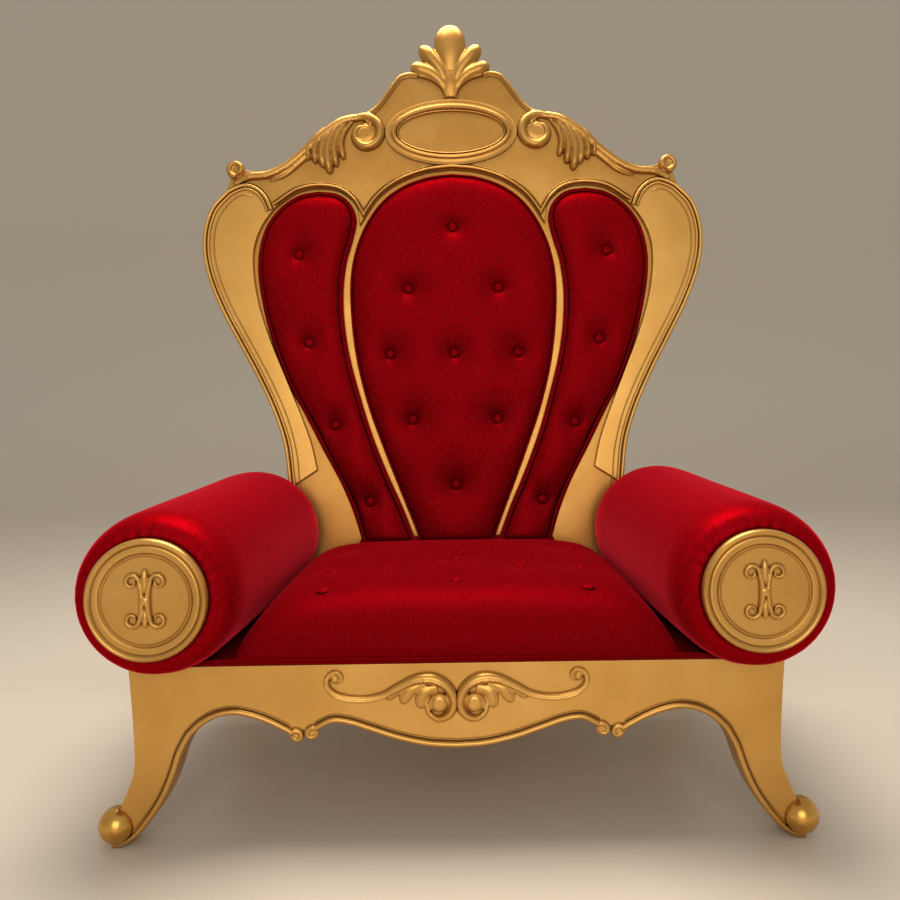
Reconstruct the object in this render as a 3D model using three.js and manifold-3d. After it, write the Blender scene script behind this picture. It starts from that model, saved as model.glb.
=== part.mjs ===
// A carved throne with a leaning back, bolster arms and velvet pads, in millimetres with +Z up.
// The front faces -Y. The right half of every mirrored outline is written and the left half is worked out.
import * as THREE from "three";
import { mergeVertices } from "three/addons/utils/BufferGeometryUtils.js";
import Module from "manifold-3d";

const wasm = await Module();
wasm.setup();

// ---- driving dimensions ----
const GAP = 0.3; // air between pieces that touch
const BOARD = 50; // thickness of the front apron and its legs
const APRON_FRONT = -368; // y of the apron's front face
const APRON_TOP = 316; // z of the apron, the rails and the deck
const RAIL_BOTTOM = 206;
const RAIL_OUTER = 560; // x of the rails' outer faces
const RAIL_THICK = 44;
const REAR_FRONT = 346; // y of the rear apron's front face
const REAR_THICK = 46;
const DECK_THICK = 20;
const FOOT_BALL = { x: 601, z: 37, radius: 32, behind: 10 };

const BACK_Y = 300; // where the leaning plane of the pads crosses z = BACK_Z
const BACK_Z = 420;
const BACK_LEAN = THREE.MathUtils.degToRad(4.5);
const BOARD_FACE = -17; // front of the back board, measured from the leaning plane
const BOARD_BACK = -53;
const BOARD_FOOT = -218; // how far the back board goes down past z = BACK_Z

const BOLSTER = { x: 514, front: -414, back: 303, noseRadius: 104, frontRadius: 134, rearRadius: 150 };
const MEDALLION = { radius: 103, thick: 16, seat: -434.5 };
const CUSHION = { bottom: APRON_TOP + GAP, border: 13, crown: 440, baseHalf: 394, topHalf: 306, back: 292 };
const BUTTON_RADIUS = 14;

const GOLD = new THREE.MeshStandardMaterial({ color: 0xc4913f, roughness: 0.38, metalness: 0.75 });
const BALL_GOLD = new THREE.MeshStandardMaterial({ color: 0xc08a2e, roughness: 0.2, metalness: 0.9 });
const VELVET = new THREE.MeshStandardMaterial({ color: 0x9a0716, roughness: 0.85, metalness: 0 });

// ---- outlines, right half, as [across, up] control points of smooth curves ----
// The apron is measured in x and z; the back in x and in the distance up the leaning plane.
const APRON_MIDDLE = [[0, 168], [48, 171], [101, 182], [153, 199], [190, 211], [218, 214], [243, 203]];
const APRON_ARCH = [[300, 199], [330, 214], [360, 225], [390, 231], [418, 227], [444, 214], [466, 194]];
const LEG_INNER = [[466, 194], [482, 164], [494, 128], [513, 85], [536, 50], [562, 20], [584, 5]];
const LEG_OUTER = [[592, 70], [578, 102], [568, 130], [566, 158], [568, 215], [571, 262], [575, 316]];
const SCROLL_PAIR = [[255, 196.5], [281, 192.5]];
const SCROLL_RADIUS = 11.5;
const FOOT = 0.5; // carved relief starts this far proud of its board, with a small upright edge

const EAR_OUTER = [[428, 146], [432, 190], [441, 258], [468, 342], [512, 437], [556, 519], [603, 608],
  [637, 692], [652, 762], [650, 828], [630, 886], [590, 930]];
const EAR_ARCH = [[590, 930], [566, 942], [540, 948], [508, 936], [484, 910], [470, 878]];
const EAR_INNER = [[470, 878], [500, 833], [519, 780], [521, 715], [507, 628], [478, 535], [441, 443],
  [398, 337], [371, 262], [355, 193]];
const CREST_BAND = [[520, 979], [485, 983], [447, 1000], [408, 1030], [365, 1070], [325, 1102],
  [285, 1126], [226, 1133]];
const CREST_SHOULDER = [[226, 1133], [198, 1154], [176, 1183], [153, 1216], [134, 1236], [105, 1243]];
const CENTER_PAD = [[0, 967], [65, 959], [131, 935], [183, 897], [222, 845], [252, 778], [268, 700],
  [269, 610], [255, 480], [225, 355], [189, 252], [150, 150], [112, 54], [94, 6]];
const SIDE_PAD_INNER = [[350, 921], [301, 913], [270, 888], [256, 850], [264, 800], [282, 736], [291, 655],
  [288, 570], [275, 485], [250, 387], [219, 284], [180, 182], [141, 93], [108, 6]];
const SIDE_PAD_OUTER = [[236, 6], [260, 84], [290, 156], [337, 245], [383, 335], [428, 420], [467, 523],
  [494, 628], [506, 714], [502, 776], [485, 832], [449, 880], [400, 912], [350, 921]];
const CREST_FACE = -4; // the crest's flat face, from the leaning plane
const CREST_BASE = CREST_FACE + FOOT;
const CREST_OVER_PAD = 13; // the crest's lower edge stands this far outside the pads

const CARTOUCHE = { up: 1077, halfWidth: 173, halfHeight: 89 };
const VOLUTE = { x: 226, up: 1078, radius: 43 };
const CURL = { x: 567, up: 981, radius: 24 };

const CENTER_BUTTONS = [[0, 822], [-117, 660], [117, 660], [-165, 490], [0, 490], [165, 490],
  [-109, 319], [109, 319], [0, 151]];
const SIDE_BUTTONS = [[402, 755], [376, 523], [308, 309], [220, 111]];
const SEAT_BUTTONS = [[-245, 82], [245, 82], [0, 118], [-250, 228], [-130, 225], [130, 225], [250, 228],
  [0, 312], [-258, 448], [258, 448]]; // [x, distance behind the apron's front face]

// ---- small tools ----
const spot = ([x, y]) => new THREE.Vector2(x, y);
const mirrored = (points) => points.map((p) => new THREE.Vector2(-p.x, p.y)).reverse();

// Evenly spaced points on a smooth curve through the control points.
function smooth(controls, steps) {
  const curve = new THREE.CatmullRomCurve3(controls.map(([x, y]) => new THREE.Vector3(x, y, 0)));
  return curve.getSpacedPoints(steps).map((p) => new THREE.Vector2(p.x, p.y));
}

// One run of points from several, without the doubled points where they meet.
function chain(...runs) {
  const points = [];
  for (const p of runs.flat())
    if (!points.length || p.distanceTo(points[points.length - 1]) > 0.5) points.push(p);
  if (points[0].distanceTo(points[points.length - 1]) < 0.5) points.pop();
  return points;
}

// The line's own points moved to its left by a distance.
function shifted(points, distance, closed = false) {
  const last = points.length - 1;
  return points.map((p, i) => {
    const before = points[closed ? (i + last) % points.length : Math.max(i - 1, 0)];
    const after = points[closed ? (i + 1) % points.length : Math.min(i + 1, last)];
    const one = p.clone().sub(before).normalize();
    const two = after.clone().sub(p).normalize();
    const along = one.add(two).normalize();
    return new THREE.Vector2(p.x - along.y * distance, p.y + along.x * distance);
  });
}

// A closed solid through rings of points that match one to one, with a flat cap on each end.
function loft(rings) {
  const count = rings[0].length;
  const index = [];
  for (let r = 0; r + 1 < rings.length; r++)
    for (let i = 0; i < count; i++) {
      const a = r * count + i;
      const b = r * count + ((i + 1) % count);
      index.push(a, b, b + count, a, b + count, a + count);
    }
  const top = (rings.length - 1) * count;
  for (const [a, b, c] of capOf(rings[0])) index.push(c, b, a);
  for (const [a, b, c] of capOf(rings[rings.length - 1])) index.push(a + top, b + top, c + top);
  const points = rings.flat();
  let volume = 0;
  for (let i = 0; i < index.length; i += 3) {
    const [a, b, c] = [points[index[i]], points[index[i + 1]], points[index[i + 2]]];
    volume += a.dot(b.clone().cross(c));
  }
  if (volume < 0) index.reverse();
  const geometry = new THREE.BufferGeometry().setFromPoints(points);
  geometry.setIndex(index);
  return geometry;
}

// Triangles of a flat ring, turned the same way as the ring runs.
function capOf(ring) {
  const normal = new THREE.Vector3();
  ring.forEach((p, i) => normal.add(p.clone().cross(ring[(i + 1) % ring.length])));
  normal.normalize();
  const turn = new THREE.Quaternion().setFromUnitVectors(normal, new THREE.Vector3(0, 0, 1));
  const flat = ring.map((p) => p.clone().applyQuaternion(turn)).map((p) => new THREE.Vector2(p.x, p.y));
  return THREE.ShapeUtils.triangulateShape(flat, []).map(([a, b, c]) => {
    const area = flat[b].clone().sub(flat[a]).cross(flat[c].clone().sub(flat[a]));
    return area < 0 ? [a, c, b] : [a, b, c];
  });
}

function solid(geometry) {
  const loose = geometry.index ? geometry.toNonIndexed() : geometry;
  const bare = new THREE.BufferGeometry().setAttribute("position", loose.getAttribute("position"));
  const merged = mergeVertices(bare, 1e-3);
  const corners = merged.index.array;
  const kept = [];
  for (let i = 0; i < corners.length; i += 3) {
    const [a, b, c] = corners.slice(i, i + 3);
    if (a !== b && b !== c && c !== a) kept.push(a, b, c);
  }
  return new wasm.Manifold(new wasm.Mesh({
    numProp: 3,
    vertProperties: merged.attributes.position.array,
    triVerts: new Uint32Array(kept),
  }));
}

const joined = (geometries) => geometries.map(solid).reduce((a, b) => a.add(b));

function geometryOf(made) {
  const mesh = made.getMesh();
  const geometry = new THREE.BufferGeometry();
  geometry.setAttribute("position", new THREE.BufferAttribute(mesh.vertProperties, 3));
  geometry.setIndex(new THREE.BufferAttribute(mesh.triVerts, 1));
  return geometry;
}

// ---- relief shapes: flat x and y are the carved plane, z is the height of the relief ----
function plate(outline, low, high) {
  return loft([low, high].map((z) => outline.map((p) => new THREE.Vector3(p.x, p.y, z))));
}

// A plate whose edge steps in and up through [inset, height] pairs.
function terrace(outline, low, steps) {
  const inward = THREE.ShapeUtils.area(outline) > 0 ? 1 : -1;
  const ringAt = (inset, z) =>
    shifted(outline, inset * inward, true).map((p) => new THREE.Vector3(p.x, p.y, z));
  return loft([ringAt(0, low), ...steps.map(([inset, z]) => ringAt(inset, z))]);
}

function halfRound(width, height, depth, sides = 3) {
  const profile = [[-width / 2, -depth]];
  for (let i = 0; i <= sides; i++) {
    const angle = Math.PI * (1 - i / sides);
    profile.push([(Math.cos(angle) * width) / 2, Math.sin(angle) * height]);
  }
  profile.push([width / 2, -depth]);
  return profile;
}

// A moulding: the profile [across, up] is carried along a flat path at a base height, scaled by taper(t).
function moulding(path, profile, base = 0, taper = () => 1) {
  const last = path.length - 1;
  const rings = path.map((p, i) => {
    const along = path[Math.min(i + 1, last)].clone().sub(path[Math.max(i - 1, 0)]).normalize();
    const size = taper(i / last);
    return profile.map(([across, up]) => new THREE.Vector3(
      p.x - along.y * across * size,
      p.y + along.x * across * size,
      base + (up > 0 ? up * Math.sqrt(size) : up),
    ));
  });
  return loft(rings);
}

// How wide a leaf lobe is along its length: it swells from its root and ends in a round tip.
function lobeTaper(root, fullAt) {
  return (t) => {
    if (t < fullAt) return root + (1 - root) * Math.sin((Math.PI / 2) * (t / fullAt));
    return Math.max(0.12, Math.sqrt(Math.max(0, 1 - ((t - fullAt) / (1 - fullAt)) ** 2)));
  };
}

function lobe(controls, width, height, root, fullAt, base, steps = 5, depth = 14, sides = 3) {
  const curve = new THREE.CatmullRomCurve3(controls.map(([x, y]) => new THREE.Vector3(x, y, 0)));
  const closer = (i) => Math.sin((Math.PI / 2) * (i / steps)); // the rings crowd towards the round tip
  const path = Array.from({ length: steps + 1 }, (_, i) => curve.getPointAt(closer(i)));
  const taper = lobeTaper(root, fullAt);
  return moulding(path.map((p) => new THREE.Vector2(p.x, p.y)), halfRound(width, height, depth, sides), base,
    (t) => taper(closer(t * steps)));
}

function ellipse(x, y, halfWidth, halfHeight, steps) {
  return new THREE.EllipseCurve(x, y, halfWidth, halfHeight).getPoints(steps).slice(0, steps);
}

// A path that winds in to a centre, from a start angle; a positive turn runs anticlockwise.
function spiral(x, y, outer, inner, startAngle, turns, steps) {
  const points = [];
  for (let i = 0; i <= steps; i++) {
    const t = i / steps;
    const radius = outer * (inner / outer) ** t;
    const angle = startAngle + turns * t * 2 * Math.PI;
    points.push(new THREE.Vector2(x + radius * Math.cos(angle), y + radius * Math.sin(angle)));
  }
  return points;
}

// A low round boss on the carved plane.
function boss(x, y, radius, height, base, sides = 8, depth = 14) {
  const profile = [[0, base - depth], [radius, base - depth], [radius, base],
    [radius * 0.62, base + height * 0.8], [0, base + height]];
  const geometry = new THREE.LatheGeometry(profile.map(spot), sides);
  geometry.rotateX(Math.PI / 2);
  return geometry.translate(x, y, 0);
}

function flipped(geometry) {
  const other = (geometry.index ? geometry.toNonIndexed() : geometry.clone()).scale(-1, 1, 1);
  const position = other.getAttribute("position");
  const turned = [];
  for (let i = 0; i < position.count; i += 3)
    for (const k of [i, i + 2, i + 1])
      turned.push(new THREE.Vector3().fromBufferAttribute(position, k));
  return new THREE.BufferGeometry().setFromPoints(turned);
}

const bothSides = (geometries) => [...geometries, ...geometries.map(flipped)];

// ---- the scene graph ----
const throne = new THREE.Group();
const back = new THREE.Group(); // x across, y up the leaning plane, z towards the sitter
back.position.set(0, BACK_Y, BACK_Z);
back.rotation.x = Math.PI / 2 - BACK_LEAN;
throne.add(back);

function piece(parent, name, geometry, material) {
  const mesh = new THREE.Mesh(geometry, material);
  mesh.name = name;
  parent.add(mesh);
  return mesh;
}

// Turns a shape made in x and z, with its relief along local z, to stand with its face towards -Y.
const standing = (geometry, y) => geometry.rotateX(Math.PI / 2).translate(0, y, 0);

// ---- aprons and legs ----
function apronOutline(footFlat) {
  const half = chain(
    smooth(APRON_MIDDLE, 6),
    smooth(APRON_ARCH, 7),
    smooth(LEG_INNER, 6),
    [new THREE.Vector2(594, 0), new THREE.Vector2(footFlat, 0), new THREE.Vector2(footFlat, 8)],
    smooth(LEG_OUTER, 5),
  );
  return chain(half, mirrored(half));
}

// Half of the carved scroll ornament in the middle of the front apron.
function apronOrnament() {
  const tail = [[224, 297], [227, 283], [216, 265], [192, 256], [160, 255], [130, 262], [102, 277]];
  const scroll = [[102, 277], [72, 290], [44, 291], [20, 280], [6, 260], [4, 240], [14, 224], [31, 218],
    [48, 224], [56, 240]];
  const feathers = [
    [[50, 284], [70, 268], [64, 238]],
    [[66, 287], [93, 271], [91, 248]],
    [[86, 283], [116, 271], [119, 254]],
  ];
  return [
    moulding(smooth(tail, 5), halfRound(11, 5, 2, 2), FOOT),
    boss(214, 292, 11, 4, FOOT, 6, 2),
    moulding(smooth(scroll, 8), halfRound(13, 6, 2, 2), FOOT),
    boss(31, 246, 16, 6, FOOT, 7, 2),
    ...feathers.map((feather) => lobe(feather, 23, 5, 0.4, 0.6, FOOT, 3, 2, 2)),
  ];
}

// Half of the bead that follows the lower edge and runs down the leg under the ball.
function apronBead() {
  const edge = chain(smooth(APRON_ARCH, 7), smooth(LEG_INNER, 6), [new THREE.Vector2(601, 3)]);
  const bead = halfRound(11, 6, 2, 2);
  return [
    moulding(shifted(edge, 5), bead, FOOT, (t) => 1 - 0.45 * Math.max(0, t - 0.8) * 5),
    ...SCROLL_PAIR.map(([x, z]) => boss(x, z, SCROLL_RADIUS, 8, FOOT, 8, BOARD)),
  ];
}

function makeFrontApron() {
  const middle = smooth(APRON_MIDDLE, 6);
  const middleBead = moulding(shifted(chain(mirrored(middle), middle), 5), halfRound(11, 6, 2, 2), FOOT);
  const relief = [...bothSides([...apronOrnament(), ...apronBead()]), middleBead];
  const carved = joined([plate(apronOutline(608), -BOARD, 0), ...relief]);
  const sockets = [-1, 1].map((side) => {
    const ball = new THREE.SphereGeometry(FOOT_BALL.radius + GAP + 0.5, 12, 8);
    return solid(ball.translate(side * FOOT_BALL.x, FOOT_BALL.z, -FOOT_BALL.behind));
  });
  const whole = sockets.reduce((made, socket) => made.subtract(socket), carved);
  piece(throne, "front_apron", standing(geometryOf(whole), APRON_FRONT), GOLD);
}

function makeFootBall(name, side) {
  const ball = new THREE.SphereGeometry(FOOT_BALL.radius, 12, 8).rotateX(Math.PI / 2);
  const mesh = piece(throne, name, ball, BALL_GOLD);
  mesh.position.set(side * FOOT_BALL.x, APRON_FRONT + FOOT_BALL.behind, FOOT_BALL.z);
}

function makeRearApron() {
  piece(throne, "rear_apron", standing(plate(apronOutline(608), -REAR_THICK, 0), REAR_FRONT), GOLD);
}

// ---- rails and deck ----
function makeRail(name, side) {
  const front = APRON_FRONT + BOARD + GAP;
  const length = REAR_FRONT - GAP - front;
  const height = APRON_TOP - RAIL_BOTTOM;
  const rail = piece(throne, name, new THREE.BoxGeometry(RAIL_THICK, length, height), GOLD);
  rail.position.set(side * (RAIL_OUTER - RAIL_THICK / 2), front + length / 2, RAIL_BOTTOM + height / 2);
}

function makeDeck() {
  const half = RAIL_OUTER - RAIL_THICK - GAP;
  const front = APRON_FRONT + BOARD + GAP;
  const rear = BACK_Y + 2; // clear of the leaning back board, which passes behind it
  const deck = piece(throne, "seat_deck", new THREE.BoxGeometry(2 * half, rear - front, DECK_THICK), GOLD);
  deck.position.set(0, (rear + front) / 2, APRON_TOP - DECK_THICK / 2);
}

// ---- the back ----
const earOutline = () => chain(smooth(EAR_OUTER, 11), smooth(EAR_ARCH, 5), smooth(EAR_INNER, 8));

function boardOutline() {
  const foot = [new THREE.Vector2(426, BOARD_FOOT)];
  const ear = smooth(EAR_OUTER, 11);
  const crest = chain(smooth([[590, 930], [556, 946], [520, 979], ...CREST_BAND.slice(1)], 9),
    smooth(CREST_SHOULDER, 5));
  const half = chain(foot, shifted(chain(ear, crest), 5), [new THREE.Vector2(60, 1236)]);
  return chain(half, mirrored(half));
}

function makeBackBoard() {
  piece(back, "back_board", plate(boardOutline(), BOARD_BACK, BOARD_FACE), GOLD);
}

// The ear's board with the double bead that follows its outer edge and its arched top.
function makeEar(name, side) {
  const edge = chain(smooth(EAR_OUTER, 11), smooth(EAR_ARCH, 5));
  const profile = [[0, -10], [0, -5], [5, 3], [11, -1], [16, 3], [23, -3], [23, -10]];
  const board = plate(earOutline(), BOARD_FACE + GAP, -4);
  const border = moulding(edge, profile, 0);
  const made = solid(board).add(solid(border).intersect(solid(plate(earOutline(), -22, 10))));
  const geometry = geometryOf(made);
  piece(back, name, side > 0 ? geometry : flipped(geometry), GOLD);
}

// The crest's lower edge, from the top of the ear to the middle.
function crestLower() {
  const sideArch = shifted(smooth(
    [[449, 880], [400, 912], [350, 921], [301, 913], [270, 888], [258, 868]], 7), -CREST_OVER_PAD);
  const middleArch = shifted(smooth([[232, 825], [183, 897], [131, 935], [65, 959], [0, 967]], 6),
    -CREST_OVER_PAD);
  middleArch[middleArch.length - 1].x = 0;
  return { sideArch, middleArch };
}

function crestOutline() {
  const { sideArch, middleArch } = crestLower();
  const overEar = shifted(smooth(EAR_ARCH, 5), -GAP - 1);
  const curlSide = [new THREE.Vector2(CURL.x + 14, 960), new THREE.Vector2(CURL.x + 18, 978)];
  const top = chain(smooth([[545, 984], ...CREST_BAND], 9), smooth(CREST_SHOULDER, 5));
  const half = chain([new THREE.Vector2(0, 1236)], top.slice().reverse(), curlSide.reverse(), overEar,
    sideArch, middleArch);
  return chain(half, mirrored(half));
}

function palmette() {
  return [
    lobe([[0, 1176], [0, 1250], [0, 1370]], 83, 26, 0.16, 0.74, CREST_BASE + 2, 5),
    ...bothSides([
      lobe([[6, 1182], [20, 1234], [50, 1280], [78, 1312]], 40, 20, 0.35, 0.74, CREST_BASE + 1, 4, 10),
      lobe([[9, 1174], [19, 1206], [48, 1236], [106, 1258]], 37, 17, 0.4, 0.76, CREST_BASE, 4, 8),
    ]),
  ];
}

function cartouche() {
  const { up, halfWidth, halfHeight } = CARTOUCHE;
  return terrace(ellipse(0, up, halfWidth, halfHeight, 20), -12, [[0, 5], [7, 14], [15, 9], [23, 13], [31, 5]]);
}

// A round disc with a broad roll coiled once round it, thinning to nothing where it comes back to the leaf.
function volute() {
  const { x, up, radius } = VOLUTE;
  const coil = spiral(x, up, radius, 29, Math.PI * 0.42, 0.82, 9);
  return [
    moulding(coil, halfRound(28, 16, 5), CREST_BASE + 0.7, (t) => 1 - 0.65 * t * t),
    boss(x, up, 28, 8, CREST_BASE + 0.3, 8, 10),
    moulding(spiral(x, up, 24, 12, 0, 0.9, 5), halfRound(7, 7, 2, 2), 2),
  ];
}

// The upper roll from the volute out to the end curl, and the tapering strip under it.
function crestBand() {
  const roll = shifted(smooth([[545, 978], ...CREST_BAND], 9), 13.8);
  const strip = [[372, 1026], [405, 996], [440, 967], [484, 952]];
  const curl = spiral(CURL.x, CURL.up, 17, 9, -Math.PI * 0.75, 0.85, 5);
  return [
    moulding(roll, halfRound(26, 12, 6), CREST_BASE),
    moulding(smooth(strip, 3), halfRound(19, 9, 4, 2), CREST_BASE + 0.4, (t) => 1 - 0.8 * t),
    moulding(curl, halfRound(17, 14, 12, 2), CREST_BASE + 0.9, (t) => 1 - 0.4 * t),
    boss(CURL.x, CURL.up, 21, 9, CREST_BASE + 0.5, 8),
  ];
}

function acanthus() {
  const strands = [
    { path: [[270, 1112], [290, 1070], [282, 1008]], width: 24, height: 13 },
    { path: [[290, 1106], [318, 1055], [314, 970]], width: 38, height: 16 },
    { path: [[318, 1094], [344, 1050], [340, 996]], width: 26, height: 12 },
    { path: [[342, 1080], [366, 1046], [360, 1002]], width: 24, height: 14 },
  ];
  return strands.map(({ path, width, height }, i) =>
    lobe(path, width, height, 0.5, 0.72, CREST_BASE + 0.2 * i, 3, 5, 2));
}

function crestBeads() {
  const { sideArch, middleArch } = crestLower();
  const bead = halfRound(9, 6, 4, 2);
  const shoulder = shifted(smooth(CREST_SHOULDER, 5), 6.4);
  return {
    sides: [moulding(shifted(sideArch, -5.2), bead, CREST_BASE),
      moulding(shoulder, halfRound(11, 8, 8, 2), CREST_BASE + 0.1)],
    middle: moulding(shifted(chain(middleArch, mirrored(middleArch)), -5.2), bead, CREST_BASE + 0.2),
  };
}

function makeCrest() {
  const beads = crestBeads();
  const geometry = geometryOf(joined([
    plate(crestOutline(), BOARD_FACE + GAP, CREST_FACE),
    beads.middle,
    cartouche(),
    ...palmette(),
    ...bothSides([...beads.sides, ...volute(), ...crestBand(), ...acanthus()]),
  ]));
  piece(back, "crest", geometry, GOLD);
}

// ---- upholstery ----
const PAD_STEPS = [[0, -12], [8, 0], [34, 9]];

function makeCenterPad() {
  const half = smooth(CENTER_PAD, 15);
  return piece(back, "back_panel_center",
    terrace(chain(half, mirrored(half)), BOARD_FACE + GAP, PAD_STEPS), VELVET);
}

function makeSidePad(name, side) {
  const outline = chain(smooth(SIDE_PAD_INNER, 12), smooth(SIDE_PAD_OUTER, 12));
  const geometry = terrace(outline, BOARD_FACE + GAP, PAD_STEPS);
  return piece(back, name, side > 0 ? geometry : flipped(geometry), VELVET);
}

// A covered button: a low dome whose foot stands just off the cloth, square to the surface it is set on.
function setButton(parent, name, pad, above, direction) {
  const r = BUTTON_RADIUS;
  const profile = [[0, 0], [r, 0.5], [r * 0.75, 5.5], [0, 8]].map(spot);
  const [hit] = new THREE.Raycaster(above, direction).intersectObject(new THREE.Mesh(pad.geometry, VELVET));
  const button = piece(parent, name, new THREE.LatheGeometry(profile, 7), VELVET);
  button.quaternion.setFromUnitVectors(new THREE.Vector3(0, 1, 0), hit.face.normal);
  button.position.copy(hit.point).addScaledVector(hit.face.normal, GAP);
}

function makeBackButtons(pads) {
  const inward = new THREE.Vector3(0, 0, -1);
  const place = (part, number, x, up) => setButton(back, `back_button_${part}_${number}`,
    pads[part], new THREE.Vector3(x, up, 100), inward);
  CENTER_BUTTONS.forEach(([x, up], i) => place("center", i + 1, x, up));
  SIDE_BUTTONS.forEach(([x, up], i) => {
    place("left", i + 1, -x, up);
    place("right", i + 1, x, up);
  });
}

// Cushion cross-sections run from front to back; each has a flat bottom and border and a crowned top.
function makeSeatCushion() {
  const { bottom, border, crown, baseHalf, topHalf } = CUSHION;
  const rise = crown - bottom - border;
  const section = (y, half, top, edge) => {
    const side = [[edge, bottom], [edge, bottom + border], [half, bottom + border + 2],
      [half - (baseHalf - topHalf) * 0.45 * top, bottom + border + rise * 0.5 * top],
      [half - (baseHalf - topHalf) * top, bottom + border + rise * 0.86 * top],
      [half * 0.55, bottom + border + rise * 0.98 * top], [0, bottom + border + rise * top]];
    const left = side.slice(0, -1).reverse().map(([x, z]) => [-x, z]);
    return [...side, ...left].map(([x, z]) => new THREE.Vector3(x, y, z));
  };
  const front = APRON_FRONT;
  const rings = [
    section(front - 3, 432, 0.02, 436), section(front + 6, 394, 0.3, 436), section(front + 36, 394, 0.72, 434),
    section(front + 80, 394, 0.95, 432), section(front + 160, 390, 1, 430), section(front + 480, 378, 1, 422),
    section(CUSHION.back - 50, 372, 1, 420), section(CUSHION.back, 336, 0.94, 418),
  ];
  return piece(throne, "seat_cushion", loft(rings), VELVET);
}

function makeSeatButtons(cushion) {
  const down = new THREE.Vector3(0, 0, -1);
  SEAT_BUTTONS.forEach(([x, behind], i) => {
    const above = new THREE.Vector3(x, APRON_FRONT + behind, CUSHION.crown + 100);
    setButton(throne, `seat_button_${i + 1}`, cushion, above, down);
  });
}

// ---- bolsters and their caps ----
function makeBolster(name, side) {
  const { x, front, back: rear, noseRadius, frontRadius, rearRadius } = BOLSTER;
  const stations = [
    [front - 20, noseRadius], [front - 12, noseRadius + 18], [front, frontRadius], [front + 90, 140],
    [front + 350, 146], [rear - 30, rearRadius], [rear, rearRadius - 16],
  ];
  const sides = 18;
  const rings = stations.map(([y, radius], k) => {
    const slide = (k / (stations.length - 1)) * 20; // the roll leans in a little towards the back
    return Array.from({ length: sides }, (_, i) => {
      const angle = (i / sides) * 2 * Math.PI;
      const centre = APRON_TOP + GAP + Math.max(radius, frontRadius) - 1.5;
      const z = Math.max(centre + radius * Math.sin(angle), APRON_TOP + GAP);
      return new THREE.Vector3(x - slide + radius * Math.cos(angle), y, z);
    });
  });
  const geometry = loft(rings);
  piece(throne, name, side > 0 ? geometry : flipped(geometry), VELVET);
}

// The turned cap, its axis along local y, with an ornament of two mirrored scrolls and a bud between them.
function medallionGeometry() {
  const R = MEDALLION.radius;
  const h = MEDALLION.thick;
  const profile = [[0, -h], [R, -h], [R - 5, 0], [R - 12, -4], [R - 24, -2],
    [R - 30, -5], [0, -5]].map(spot);
  const disc = new THREE.LatheGeometry(profile, 16).rotateX(Math.PI / 2);
  const stem = [[10, -44], [26, -30], [30, -10], [16, 10], [12, 26]];
  const scrolls = bothSides([
    moulding(smooth(stem, 4), halfRound(9, 6, 3, 2), -4.6),
    moulding(spiral(26, 34, 13, 6, Math.PI, -0.85, 4), halfRound(8, 6, 3, 2), -4.6),
    moulding(spiral(17, -38, 11, 5, Math.PI * 1.1, 0.85, 3), halfRound(7, 5, 3, 2), -4.6),
  ]);
  const bud = lobe([[0, -20], [0, 18], [0, 48]], 15, 6, 0.3, 0.6, -4.6, 3, 4, 2);
  return joined([disc, bud, ...scrolls]);
}

function makeMedallion(name, side) {
  const geometry = standing(geometryOf(medallionGeometry()), 0);
  const centre = APRON_TOP + GAP + BOLSTER.frontRadius - 1.5;
  piece(throne, name, geometry, GOLD).position.set(side * BOLSTER.x, MEDALLION.seat - MEDALLION.thick, centre);
}

// ---- assembly ----
makeFrontApron();
makeRearApron();
makeDeck();
makeBackBoard();
makeCrest();
makeSeatButtons(makeSeatCushion());
const pads = { center: makeCenterPad() };
for (const [word, side] of [["left", -1], ["right", 1]]) {
  makeFootBall(`foot_ball_${word}`, side);
  makeRail(`side_rail_${word}`, side);
  makeEar(`ear_${word}`, side);
  pads[word] = makeSidePad(`back_panel_${word}`, side);
  makeBolster(`bolster_${word}`, side);
  makeMedallion(`medallion_${word}`, side);
}
makeBackButtons(pads);

export default throne;
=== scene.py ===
import math

import bpy
import numpy as np
from mathutils import Matrix, Vector
from mathutils.kdtree import KDTree


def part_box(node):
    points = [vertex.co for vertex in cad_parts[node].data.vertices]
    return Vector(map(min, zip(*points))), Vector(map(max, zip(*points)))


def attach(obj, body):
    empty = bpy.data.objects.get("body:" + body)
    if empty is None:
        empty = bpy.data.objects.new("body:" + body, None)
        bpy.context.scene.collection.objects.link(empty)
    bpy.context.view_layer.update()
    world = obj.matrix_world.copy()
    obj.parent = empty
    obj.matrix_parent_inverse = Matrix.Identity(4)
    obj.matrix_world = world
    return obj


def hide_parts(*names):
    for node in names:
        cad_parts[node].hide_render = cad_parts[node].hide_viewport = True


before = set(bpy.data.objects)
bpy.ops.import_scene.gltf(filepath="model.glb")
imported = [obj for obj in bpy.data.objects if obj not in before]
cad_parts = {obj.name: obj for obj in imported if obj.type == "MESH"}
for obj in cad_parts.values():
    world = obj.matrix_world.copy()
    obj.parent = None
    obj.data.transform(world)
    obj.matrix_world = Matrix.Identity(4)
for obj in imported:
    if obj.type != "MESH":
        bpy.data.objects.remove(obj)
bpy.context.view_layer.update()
mm = 0.001  # the shapes below are drawn in millimetres
print("frame loaded")

# the throne's main sizes, in millimetres
throne = {
    "apronFront": -368, "apronThick": 50, "apronTop": 316,
    "rearFront": 346, "rearThick": 46,
    "backY": 300, "backZ": 420, "lean": math.radians(4.5),
    "boardFace": -17, "boardBack": -53, "boardFoot": -218,
    "carvedFace": -4,  # the crest's and the ears' flat face, from the leaning plane
}
# the back is drawn flat, as across, up and out, and then leans; the aprons are drawn flat and then stand
lean = throne["lean"]
backPlace = Matrix((
    (1, 0, 0, 0),
    (0, math.sin(lean), -math.cos(lean), throne["backY"] * mm),
    (0, math.cos(lean), math.sin(lean), throne["backZ"] * mm),
    (0, 0, 0, 1),
))


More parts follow.
